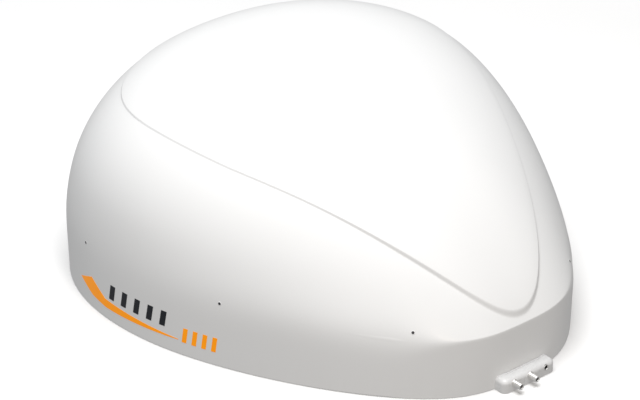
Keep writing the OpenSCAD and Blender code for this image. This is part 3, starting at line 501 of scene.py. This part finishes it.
MATERIALS = {
    "white_shell": gloss_shell("gloss_white_shell"),
    "panel_white": moulded("panel_white_plastic", rgb(0.78, 0.78, 0.76), 0.5, spread=0.04),
    # The orange print glows with painted light, an emission that lifts it above what the lamps give.
    "orange_film": print_film("orange_print", rgb(1.0, 0.32, 0.0), painted_glow=0.3),
    "charcoal_film": print_film("charcoal_print", rgb(0.012, 0.014, 0.02)),
    "dark_screw": metal("black_oxide_steel", rgb(0.10, 0.10, 0.11), 0.42, stain=0.3),
    "rubber_seal": moulded("seal_rubber", rgb(0.025, 0.025, 0.026), 0.72, 1400.0, 0.05, 0.25),
    "tray_plastic": moulded("tray_plastic", rgb(0.075, 0.076, 0.08), 0.58, 1100.0, 0.12),
    "brass_part": metal("machined_brass", rgb(0.72, 0.52, 0.22), 0.28),
    "nickel_socket": metal("bright_nickel", rgb(0.95, 0.94, 0.92), 0.36, stain=0.05),
    "insulator": moulded("socket_insulator", rgb(0.10, 0.10, 0.10), 0.5, 2600.0, 0.02),
    "zinc_screw": metal("zinc_plate", rgb(0.62, 0.63, 0.66), 0.34, stain=0.16),
    "circuit_board": board("green_circuit_board"),
    "tinned_can": metal("tinned_steel", rgb(0.7, 0.7, 0.7), 0.3, (1.0, 14.0, 1.0)),
    "black_metal": metal("black_anodised", rgb(0.05, 0.05, 0.055), 0.4, (1.0, 12.0, 1.0)),
    "cable_jacket": moulded("cable_jacket", rgb(0.03, 0.03, 0.032), 0.48, 1800.0, 0.03),
    "bare_aluminium": metal("milled_aluminium", rgb(0.72, 0.73, 0.74), 0.3, (1.0, 18.0, 1.0)),
    "gear_plastic": moulded("gear_acetal", rgb(0.74, 0.71, 0.62), 0.42, 1500.0, 0.02, 0.06),
    "bearing_steel": metal("ground_steel", rgb(0.66, 0.67, 0.69), 0.18, (1.0, 1.0, 30.0)),
    "black_plastic": moulded("black_plastic", rgb(0.04, 0.04, 0.042), 0.5, 1300.0, 0.06),
    "motor_can": metal("drawn_steel_can", rgb(0.6, 0.61, 0.63), 0.3, (1.0, 1.0, 24.0)),
    "horn_plastic": metal("metallised_horns", rgb(0.66, 0.6, 0.42), 0.36, (1.0, 1.0, 1.0)),
}
BLOCK_WHITE = moulded("socket_block_plastic", rgb(0.77, 0.775, 0.78), 0.3, 700.0, 0.03, 0.04, 0.25)
for part in frame["record"]["subparts"]:
    for slot in frame["nodes"][part["node"]].material_slots:
        slot.material = MATERIALS[part["material_slot"]]


def housing_piece(name, parts, slot):
    """Fixed piece made of collected shapes, in the slot's own material."""
    return new_mesh(name, parts.verts, parts.faces, MATERIALS[slot], "housing")


# ---------------------------------------------------------------- radome shell
HOUSING_LOW, HOUSING_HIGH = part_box("connector_housing")


def crown_edge(heading):
    """Outline of the crown in plan, moved outwards as CROWN_GROW says."""
    dx = np.sin(heading)
    dy = np.cos(heading)
    reach = bisect(lambda r: crown_gap(r * dx, r * dy) > 0, 0 * dx, 0 * dx + LENGTH)
    tip = np.maximum(0.0, -dy) ** TIP_HOLD
    reach += CROWN_GROW * np.clip((GROW_NONE - dy) / GROW_SPAN, 0, 1) * (1 - tip)
    return reach * dx, reach * dy


def lower_nose(rings):
    """Lets the skirt's upper edge, and the shoulder next to it, sink towards the narrow end."""
    rim = np.hypot(*rim_point(HEADINGS))
    off_nose = np.degrees(np.arccos(np.clip(-np.cos(HEADINGS), -1, 1)))
    near = smooth(np.clip((SINK_END - off_nose) / (SINK_END - SINK_FULL), 0, 1))
    for p in rings:
        gap = np.maximum(0.0, rim - np.hypot(p[:, 0], p[:, 1]))
        p[:, 2] -= NOSE_SINK * near * np.exp(-gap / SINK_REACH) * np.minimum(1.0, p[:, 2] / SKIRT)
    return rings


def shell_rings(off):
    """Rings of points from the foot nearly to the apex, pushed out by off; off 0 has a foot lip."""
    rim_x, rim_y = rim_point(HEADINGS)
    edge_x, edge_y = crown_edge(HEADINGS)
    edge_level = level_at(edge_x, edge_y)
    rings = []
    for z, inset in ((0.0, FOOT_LIP), (FOOT_LIP * 0.3, FOOT_LIP * 0.3), (FOOT_LIP, 0.0)):
        rings.append(skirt_point(HEADINGS, z, off - (inset if off == 0 else 0.0)))
    for z in np.linspace(2 * FOOT_LIP, SKIRT, SKIRT_RINGS, endpoint=False):
        rings.append(skirt_point(HEADINGS, z, off))
    for i in range(SHOULDER_RINGS + 1):
        u = i / SHOULDER_RINGS
        t = edge_level * u**SHOULDER_BUNCH
        share = bisect(
            lambda m: plan_gap(rim_x + m * (edge_x - rim_x), rim_y + m * (edge_y - rim_y), t) < 0,
            0 * rim_x,
            0 * rim_x + 1,
        )
        share = share if u < 1 else np.ones_like(share)
        share = np.zeros_like(share) if u == 0 else share
        x, y = rim_x + share * (edge_x - rim_x), rim_y + share * (edge_y - rim_y)
        n = skirt_normal(x, y) if u == 0 else dome_normal(x, y, t)
        p = np.stack([x, y, SKIRT + (HEIGHT - SKIRT) * t], -1)
        rings.append(p + n * off)
    to_peak = np.hypot(edge_x, edge_y - APEX_Y)
    nose = np.maximum(0.0, -np.cos(HEADINGS)) ** TIP_POW
    ramp_width = STEP_RAMP + TIP_RAMP * nose
    first = 1 - ramp_width / to_peak
    shares = [1 - ramp_width * (j / STEP_RINGS) / to_peak for j in range(1, STEP_RINGS + 1)]
    inwards = [1 - j / (CROWN_RINGS + 1) for j in range(1, CROWN_RINGS + 1)]
    shares += [first * share**CROWN_BUNCH for share in inwards]
    for s in shares:
        x, y = s * edge_x, APEX_Y + s * (edge_y - APEX_Y)
        t = level_at(x, y)
        ramp = smooth(np.clip((1 - s) * to_peak / ramp_width, 0, 1))
        lift = (CROWN_STEP + TIP_STEP * nose) * s * s * ramp
        p = np.stack([x, y, SKIRT + (HEIGHT - SKIRT) * t], -1)
        rings.append(p + dome_normal(x, y, t) * (off + lift)[:, None])
    return lower_nose(rings)


def soften_crease(rings):
    """Rounds the skirt's upper edge: barely at the narrow end, broadly along the sides and back."""
    points = np.stack(rings)
    steps = np.linalg.norm(np.diff(points, axis=0), axis=-1)
    run = np.concatenate([np.zeros((1, COLUMNS)), np.cumsum(steps, axis=0)])
    run = run - run[CREASE_RING]
    share = np.gradient(run, axis=0)
    front = np.clip((-np.cos(HEADINGS) - FADE_END) / (FADE_START - FADE_END), 0, 1)
    reach = CREASE_SIDE + (CREASE_FRONT - CREASE_SIDE) * smooth(front)
    result = points.copy()
    for c in range(COLUMNS):
        gap = run[:, c][:, None] - run[:, c][None, :]
        weight = np.exp(-0.5 * (gap / reach[c]) ** 2) * share[:, c][None, :]
        soft = weight @ points[:, c] / weight.sum(1, keepdims=True)
        near = np.exp(-0.5 * (run[:, c] / (3 * reach[c])) ** 4)[:, None]
        result[:, c] = points[:, c] + near * (soft - points[:, c])
    return result


OUTER = soften_crease(shell_rings(0.0))
FOOT_CLEARANCE = 0.3 * MM


def build_shell():
    """Radome: two surfaces joined at the foot, which is lifted a little at the socket block."""
    outer = OUTER.copy()
    inner = shell_rings(-WALL)[FOOT_RINGS::4]
    inner[0][:, 2] = 0.0
    clear = (np.abs(outer[0][:, 0]) < HOUSING_HIGH.x) & (outer[0][:, 1] < HOUSING_HIGH.y)
    outer[0][clear, 2] = FOOT_CLEARANCE
    inner[0][clear, 2] = FOOT_CLEARANCE
    verts = [p for ring in outer for p in ring]
    faces = grid_faces(len(outer), COLUMNS, True)
    top = len(verts)
    verts.append((0.0, APEX_Y, HEIGHT))
    last = (len(outer) - 1) * COLUMNS
    faces += [(last + c, last + (c + 1) % COLUMNS, top) for c in range(COLUMNS)]
    start = len(verts)
    verts += [p for ring in inner for p in ring]
    faces += [f[::-1] for f in grid_faces(len(inner), COLUMNS, True, start)]
    inside_top = len(verts)
    verts.append((0.0, APEX_Y, HEIGHT - WALL))
    last = start + (len(inner) - 1) * COLUMNS
    faces += [(last + (c + 1) % COLUMNS, last + c, inside_top) for c in range(COLUMNS)]
    for c in range(COLUMNS):
        d = (c + 1) % COLUMNS
        faces.append((d, c, start + c, start + d))
    faces = [f[::-1] for f in faces]
    shell = new_mesh("radome_shell", verts, faces, MATERIALS["white_shell"], "housing")
    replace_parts(shell, "radome")


build_shell()


# ---------------------------------------------------------------- printed trim
# distances of the print's two faces from the skirt, and degrees between its stations
FILM_OUT = 0.22 * MM
FILM_IN = 0.02 * MM
FILM_STEP = 0.4


def film(name, shapes, slot, node):
    """Thin prints on the skirt. Each shape is (heading degrees, low z mm, high z mm) stations."""
    parts = Parts()
    across = 6
    for stations in shapes:
        heads, lows, highs = np.array(stations, float).T
        steps = max(2, int(abs(heads[-1] - heads[0]) / FILM_STEP))
        at = np.linspace(0, 1, steps * (len(heads) - 1) + 1)
        knots = np.linspace(0, 1, len(heads))
        head = np.radians(np.interp(at, knots, heads))
        low = np.interp(at, knots, lows) * MM
        high = np.interp(at, knots, highs) * MM
        rows = [low + (high - low) * k / across for k in range(across + 1)]
        front = [skirt_point(head, z, FILM_OUT) for z in rows]
        back = [skirt_point(head, z, FILM_IN) for z in rows]
        n = len(head)
        count = n * (across + 1)
        faces = grid_faces(across + 1, n, False)
        faces += [tuple(count + i for i in f[::-1]) for f in grid_faces(across + 1, n, False)]
        rim = list(range(n)) + [k * n + n - 1 for k in range(1, across + 1)]
        rim += [across * n + i for i in range(n - 2, -1, -1)] + [k * n for k in range(across - 1, 0, -1)]
        for i, a in enumerate(rim):
            b = rim[(i + 1) % len(rim)]
            faces.append((b, a, count + a, count + b))
        parts.add([p for row in front + back for p in row], faces)
    obj = housing_piece(name, parts, slot)
    sharpen(obj, 40)
    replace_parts(obj, node)


def slanted_bars(start, count, step, span, low, high):
    """Row of leaning bars: headings and spans in degrees, heights in mm."""
    tip = 1
    bars = []
    for i in range(count):
        a = start - step * i
        middle = [(a - span / 3, low, high), (a - span * 2 / 3, low, high)]
        bars.append([(a, low, low + tip)] + middle + [(a - span, high - tip, high)])
    return bars


STRIPE = [(-62, 37, 38), (-67, 23, 53), (-72, 19, 33), (-95, 24, 25)]
BARS = slanted_bars(start=-73.5, count=5, step=4.0, span=2.4, low=38, high=63)
DASHES = slanted_bars(start=-96, count=4, step=2.8, span=1.9, low=22, high=46)
film("trim_stripe", [STRIPE], "orange_film", "decal_stripe")
film("trim_bars", BARS, "charcoal_film", "decal_bars")
film("trim_dashes", DASHES, "orange_film", "decal_dashes")


# ---------------------------------------------------------------- skirt screws
# degrees from +Y, the same on both sides
SCREW_HEADINGS = (155, 107, 65, 22)
SCREW_Z = 103 * MM


def surface_point(heading, z):
    """Point and outward direction on the shell at a plan heading and height."""
    column = heading / (2 * math.pi) * COLUMNS

    def at(col, height):
        line = OUTER[: CREASE_RING + SHOULDER_RINGS, int(round(col)) % COLUMNS]
        return Vector([np.interp(height, line[:, 2], line[:, i]) for i in range(3)])

    aside = 2
    above = 3 * MM
    point = at(column, z)
    across = at(column + aside, z) - at(column - aside, z)
    up = at(column, z + above) - at(column, z - above)
    out = across.cross(up).normalized()
    return point, out if out.dot(point) > 0 else -out


def build_skirt_screws():
    """Pan heads with a round drive recess, each on a white nylon washer; profiles in mm."""
    screws = Parts()
    washers = Parts()
    recess = [(0.3, 0.1), (0.8, 0.2), (0.95, 0.62)]
    head = recess + [(1.5, 0.55), (2.05, 0.25), (2.15, 0.0), (2.15, -1.2)]
    ring = [(2.1, 0.18), (2.8, 0.14), (3.0, 0.0), (3.0, -0.6), (2.1, -0.6)]
    for side in (-1, 1):
        for degrees in SCREW_HEADINGS:
            point, out = surface_point(math.radians(side * degrees), SCREW_Z)
            screws.add(*lathe(in_metres(head), point, out, 32))
            washers.add(*lathe(in_metres(ring), point, out, 32, closed=False))
    heads = housing_piece("skirt_screws", screws, "dark_screw")
    sharpen(heads, 35)
    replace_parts(heads, "radome_screws")
    housing_piece("skirt_washers", washers, "white_shell")


build_skirt_screws()


# ---------------------------------------------------------------- connector block
BLOCK_HALF_W = 48.5 * MM
BLOCK_DEPTH = 33 * MM
BLOCK_TOP = 20 * MM
BLOCK_FILLET = 7 * MM
BLOCK_CORNER = 9 * MM
SERVICE_HOLE_R = 4.4 * MM


def rounded_outline(half, front, back, corner, inset):
    """Plan outline of the block: rounded front corners, inset all round."""
    r = corner - inset
    steps = 12
    points = [(half - inset, back - inset)]
    for k in range(steps + 1):
        a = math.radians(90 * k / steps)
        points.append((half - corner + r * math.cos(a), front + corner - r * math.sin(a)))
    return points + [(-x, y) for x, y in reversed(points)]


def drill(obj, profile, origin):
    """Cuts a turned hole into a piece, straight back from its front."""
    verts, faces = lathe(profile, origin, (0, 1, 0), 64)
    cutter = new_mesh("cutter", verts, faces, obj.data.materials[0], None)
    cut = obj.modifiers.new("drill", "BOOLEAN")
    cut.object = cutter
    cut.solver = "EXACT"
    bpy.context.view_layer.update()
    final = bpy.data.meshes.new_from_object(obj.evaluated_get(bpy.context.evaluated_depsgraph_get()))
    obj.modifiers.clear()
    obj.data = final
    bpy.data.objects.remove(cutter)


def build_block():
    """Socket block: rounded ends, a broad fillet round the top, and the service hole.

    Each ring is an inset and a height: chamfered foot, upright wall, fillet, flat top.
    """
    front = HOUSING_LOW.y
    back = front + BLOCK_DEPTH
    chamfer = 0.6 * MM
    top_inset = BLOCK_CORNER - 0.5 * MM
    rings = [(chamfer, 0.0), (0.0, chamfer), (0.0, 6 * MM), (0.0, 9 * MM)]
    steps = 14
    for k in range(steps + 1):
        a = math.radians(90 * k / steps)
        inset = BLOCK_FILLET * (1 - math.cos(a))
        rings.append((inset, BLOCK_TOP - BLOCK_FILLET + BLOCK_FILLET * math.sin(a)))
    rings.append((top_inset, BLOCK_TOP))
    verts = []
    count = 0
    for inset, z in rings:
        outline = rounded_outline(BLOCK_HALF_W, front, back, BLOCK_CORNER, inset)
        count = len(outline)
        verts += [(x, y, z) for x, y in outline]
    faces = grid_faces(len(rings), count, True)
    last = (len(rings) - 1) * count
    faces += [tuple(range(count))[::-1], tuple(last + i for i in range(count))]
    block = new_mesh("socket_block", verts, faces, BLOCK_WHITE, "housing")
    low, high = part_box("service_socket")
    hole = [(SERVICE_HOLE_R, -2 * MM), (SERVICE_HOLE_R, 10 * MM)]
    drill(block, hole, ((low.x + high.x) / 2, front, (low.z + high.z) / 2))
    sharpen(block, 40)
    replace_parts(block, "connector_housing")


def build_bead():
    """Raised bead where the top of the block meets the skirt."""
    reach = math.radians(6.6)
    radius = 1.25 * MM
    stand_off = 2.0 * MM
    rows = 48
    around = 16
    verts = []
    for i in range(rows + 1):
        u = 2 * i / rows - 1
        heading = math.pi + u * reach
        foot = Vector(skirt_point(heading, BLOCK_TOP, 0.0))
        centre = Vector(skirt_point(heading, BLOCK_TOP, stand_off))
        out = (centre - foot).normalized()
        thick = radius * math.sqrt(max(0.02, 1 - u**8))
        for k in range(around):
            a = 2 * math.pi * k / around
            p = centre + out * thick * math.cos(a)
            verts.append((p.x, p.y, BLOCK_TOP + thick * math.sin(a)))
    faces = grid_faces(rows + 1, around, True)
    faces += [tuple(range(around))[::-1], tuple(rows * around + k for k in range(around))]
    new_mesh("block_bead", verts, faces, BLOCK_WHITE, "housing")


build_block()
build_bead()


# ---------------------------------------------------------------- sockets
# 3/8-32 thread; it is shallower than a real one, so that it doesn't glitter
THREAD_R = 4.76 * MM
THREAD_PITCH = 25.4 / 32 * MM
THREAD_DEPTH = 0.09 * MM
THREAD_RUN_IN = 1.2 * MM
THREAD_RUN_OUT = 2.2 * MM
TIP_CHAMFER = 0.35 * MM
TIP_CHAMFER_RUN = 0.7 * MM
BORE_R = 2.9 * MM
BORE_END = 10.9 * MM
PIN_HOLE_R = 0.2 * MM


def threaded_barrel(x):
    """F socket barrel: shallow thread, chamfered hollow tip, thin collar at the block."""
    low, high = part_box("coax_port_left")
    z = (low.z + high.z) / 2
    tip = low.y
    face = HOUSING_LOW.y
    around = 72
    per_turn = 8
    length = face - tip
    parts = Parts()
    rows = int(length / THREAD_PITCH * per_turn)
    verts = []
    for i in range(rows + 1):
        d = length * i / rows
        for k in range(around):
            a = 2 * math.pi * k / around
            phase = (d / THREAD_PITCH + k / around) % 1.0
            groove = THREAD_DEPTH * (0.5 + 0.5 * math.cos(2 * math.pi * phase))
            ease = min(1.0, d / THREAD_RUN_IN, (length - d) / THREAD_RUN_OUT)
            chamfer = TIP_CHAMFER * max(0.0, 1 - d / TIP_CHAMFER_RUN)
            radius = THREAD_R - groove * max(0.0, ease) - chamfer
            verts.append((x + radius * math.cos(a), tip + d, z + radius * math.sin(a)))
    parts.add(verts, grid_faces(rows + 1, around, True))
    lip = [
        (THREAD_R - TIP_CHAMFER, 0.0),
        (THREAD_R - 0.8 * MM, -0.05 * MM),
        (BORE_R + 0.3 * MM, 0.0),
        (BORE_R, 0.35 * MM),
        (BORE_R, BORE_END),
        (PIN_HOLE_R, BORE_END),
    ]
    parts.add(*lathe(lip, (x, tip, z), (0, 1, 0), around, closed=False))
    collar = in_metres([(4.5, -0.9), (5.2, -0.9), (5.4, -0.7), (5.4, 0.5), (4.5, 0.5)])
    parts.add(*lathe(collar, (x, face, z), (0, 1, 0), around, closed=False))
    return parts


def build_coax_sockets():
    """The two threaded sockets."""
    for side in ("left", "right"):
        node = "coax_port_" + side
        low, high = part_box(node)
        parts = threaded_barrel((low.x + high.x) / 2)
        barrel = housing_piece("socket_barrel_" + side, parts, "nickel_socket")
        sharpen(barrel, 45)
        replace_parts(barrel, node)


def service_ring(name, profile, slot):
    """Turned ring, its profile in mm, at the mouth of the service hole."""
    low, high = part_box("service_socket")
    centre = ((low.x + high.x) / 2, low.y, (low.z + high.z) / 2)
    ring = Parts()
    ring.add(*lathe(in_metres(profile), centre, (0, 1, 0), 64, closed=False))
    piece = housing_piece(name, ring, slot)
    sharpen(piece, 45)
    return piece


def build_service_socket():
    """Plated lip and dark bore of the plain round socket."""
    lip = [(4.4, 0.6), (4.6, -0.1), (4.3, -0.35), (3.5, -0.35), (3.2, 0.0), (3.2, 1.2)]
    bore = [(3.25, 0.5), (3.2, 0.9), (3.2, 8.4), (0.2, 8.4)]
    service_ring("service_lip", lip, "nickel_socket")
    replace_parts(service_ring("service_bore", bore, "black_plastic"), "service_socket")


build_coax_sockets()
build_service_socket()


# ---------------------------------------------------------------- floor, light, camera
def floor_material():
    """Near-white matt floor."""
    s = Shader("studio_floor")
    tone = s.ramp(s.noise(2.0, 2.0), [(0.3, rgb(0.95, 0.95, 0.95)), (0.7, rgb(0.97, 0.97, 0.97))])
    s.wire("Base Color", tone)
    s.fix(Roughness=0.9)
    return s.material


def build_stage():
    """Floor just under the foot, and the shade card. The floor doesn't light the object."""
    size = 14.0
    verts = [(-size, -size, 0), (size, -size, 0), (size, size, 0), (-size, size, 0)]
    floor = new_mesh("studio_floor", verts, [(0, 1, 2, 3)], floor_material(), None)
    floor.location.z = -0.2 * MM
    floor.visible_diffuse = False
    floor.visible_glossy = False
    shade_card()


def shade_card():
    """Dark card beside the right flank, hidden from the camera, that shades that side."""
    half = Vector((0.64, 0.77, 0.0)) * 0.75
    middle = Vector((0.77, -0.64, 0.0)) * 1.05
    low = 0.3
    high = 1.3
    corners = [middle - half, middle + half, middle + half, middle - half]
    verts = [(c.x, c.y, z) for c, z in zip(corners, (low, low, high, high))]
    black = moulded("card_black", rgb(0.02, 0.02, 0.02))
    card = new_mesh("shade_card", verts, [(0, 1, 2, 3)], black, None)
    card.visible_camera = False


def area_light(name, place, target, size, power, color=(1.0, 1.0, 1.0)):
    """Square lamp that faces its target."""
    lamp = bpy.data.lights.new(name, "AREA")
    lamp.shape = "RECTANGLE"
    lamp.size = size
    lamp.size_y = size
    lamp.energy = power
    lamp.color = color
    obj = bpy.data.objects.new(name, lamp)
    bpy.context.scene.collection.objects.link(obj)
    obj.location = place
    obj.rotation_euler = (Vector(target) - Vector(place)).to_track_quat("-Z", "Y").to_euler()


def build_light():
    """Even white world, one big lamp overhead and a small warm one towards the narrow end."""
    world = bpy.data.worlds.new("studio")
    bpy.context.scene.world = world
    world.use_nodes = True
    background = world.node_tree.nodes["Background"]
    background.inputs["Color"].default_value = rgb(1.0, 1.0, 1.0)
    background.inputs["Strength"].default_value = 0.4
    centre = (0.0, 0.0, 0.15)
    area_light("overhead_softbox", (-0.7, -0.5, 4.3), centre, 3.2, 180)
    area_light("front_fill", (-0.8, -1.9, 0.8), (0.0, -0.3, 0.1), 0.4, 5, (1.0, 0.84, 0.68))


def build_camera():
    """Camera to the left of the narrow end, looking down on the dome."""
    azimuth = math.radians(-39.68)
    elevation = math.radians(29.03)
    distance = 3.605
    target = Vector((0.0231, 0.0844, 0.0745))
    view = Vector((
        math.sin(azimuth) * math.cos(elevation),
        -math.cos(azimuth) * math.cos(elevation),
        math.sin(elevation),
    ))
    data = bpy.data.cameras.new("camera")
    data.lens = 135.0
    data.sensor_width = 36.0
    camera = bpy.data.objects.new("camera", data)
    bpy.context.scene.collection.objects.link(camera)
    camera.location = target + view * distance
    camera.rotation_euler = (-view).to_track_quat("-Z", "Y").to_euler()
    bpy.context.scene.camera = camera


build_stage()
build_light()
build_camera()
bpy.context.scene.view_settings.view_transform = "Standard"
